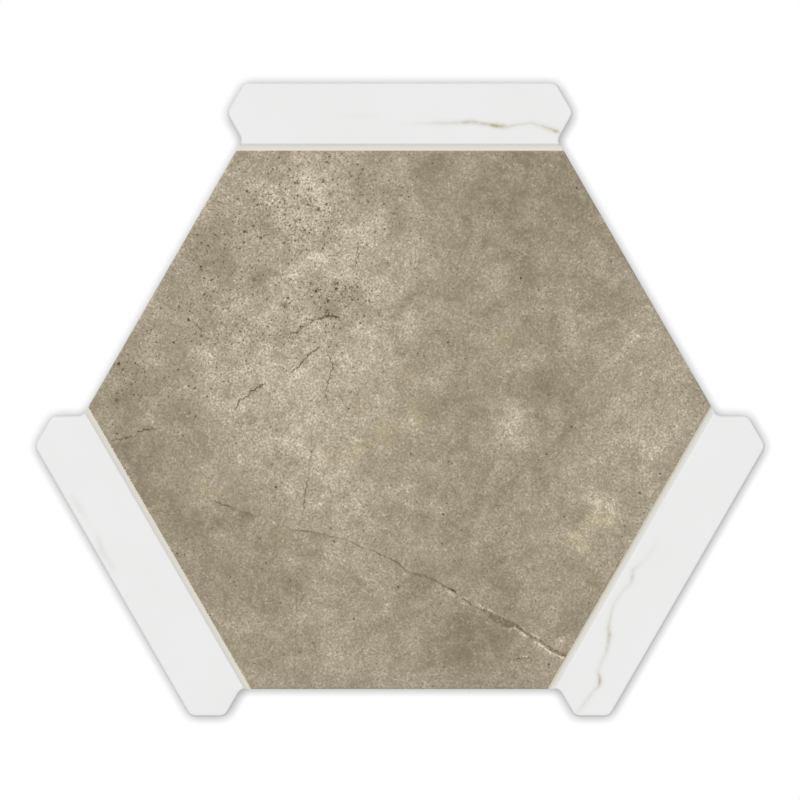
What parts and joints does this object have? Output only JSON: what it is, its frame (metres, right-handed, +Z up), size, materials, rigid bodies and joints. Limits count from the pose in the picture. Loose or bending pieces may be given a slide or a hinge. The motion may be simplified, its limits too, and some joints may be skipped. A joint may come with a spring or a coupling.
{
  "type": "picket porcelain tile",
  "caption": "Flat hexagon porcelain tile with a stone-look field and a pointed white picket strip on alternate sides, set off by pressed grooves, that interlocks with its neighbours.",
  "frame": {"origin": "centre of the hexagon, where the back's ribs meet, on the back face that the tile lies on", "axes": "+Z up out of the printed face, +Y from the centre to the middle of the upper picket strip, +X to the right along that strip"},
  "size_m": [0.3282, 0.2854, 0.009],
  "materials": {
    "porcelain": "matte"
  },
  "bodies": {
    "root": {"tile": "porcelain"}
  },
  "joints": []
}
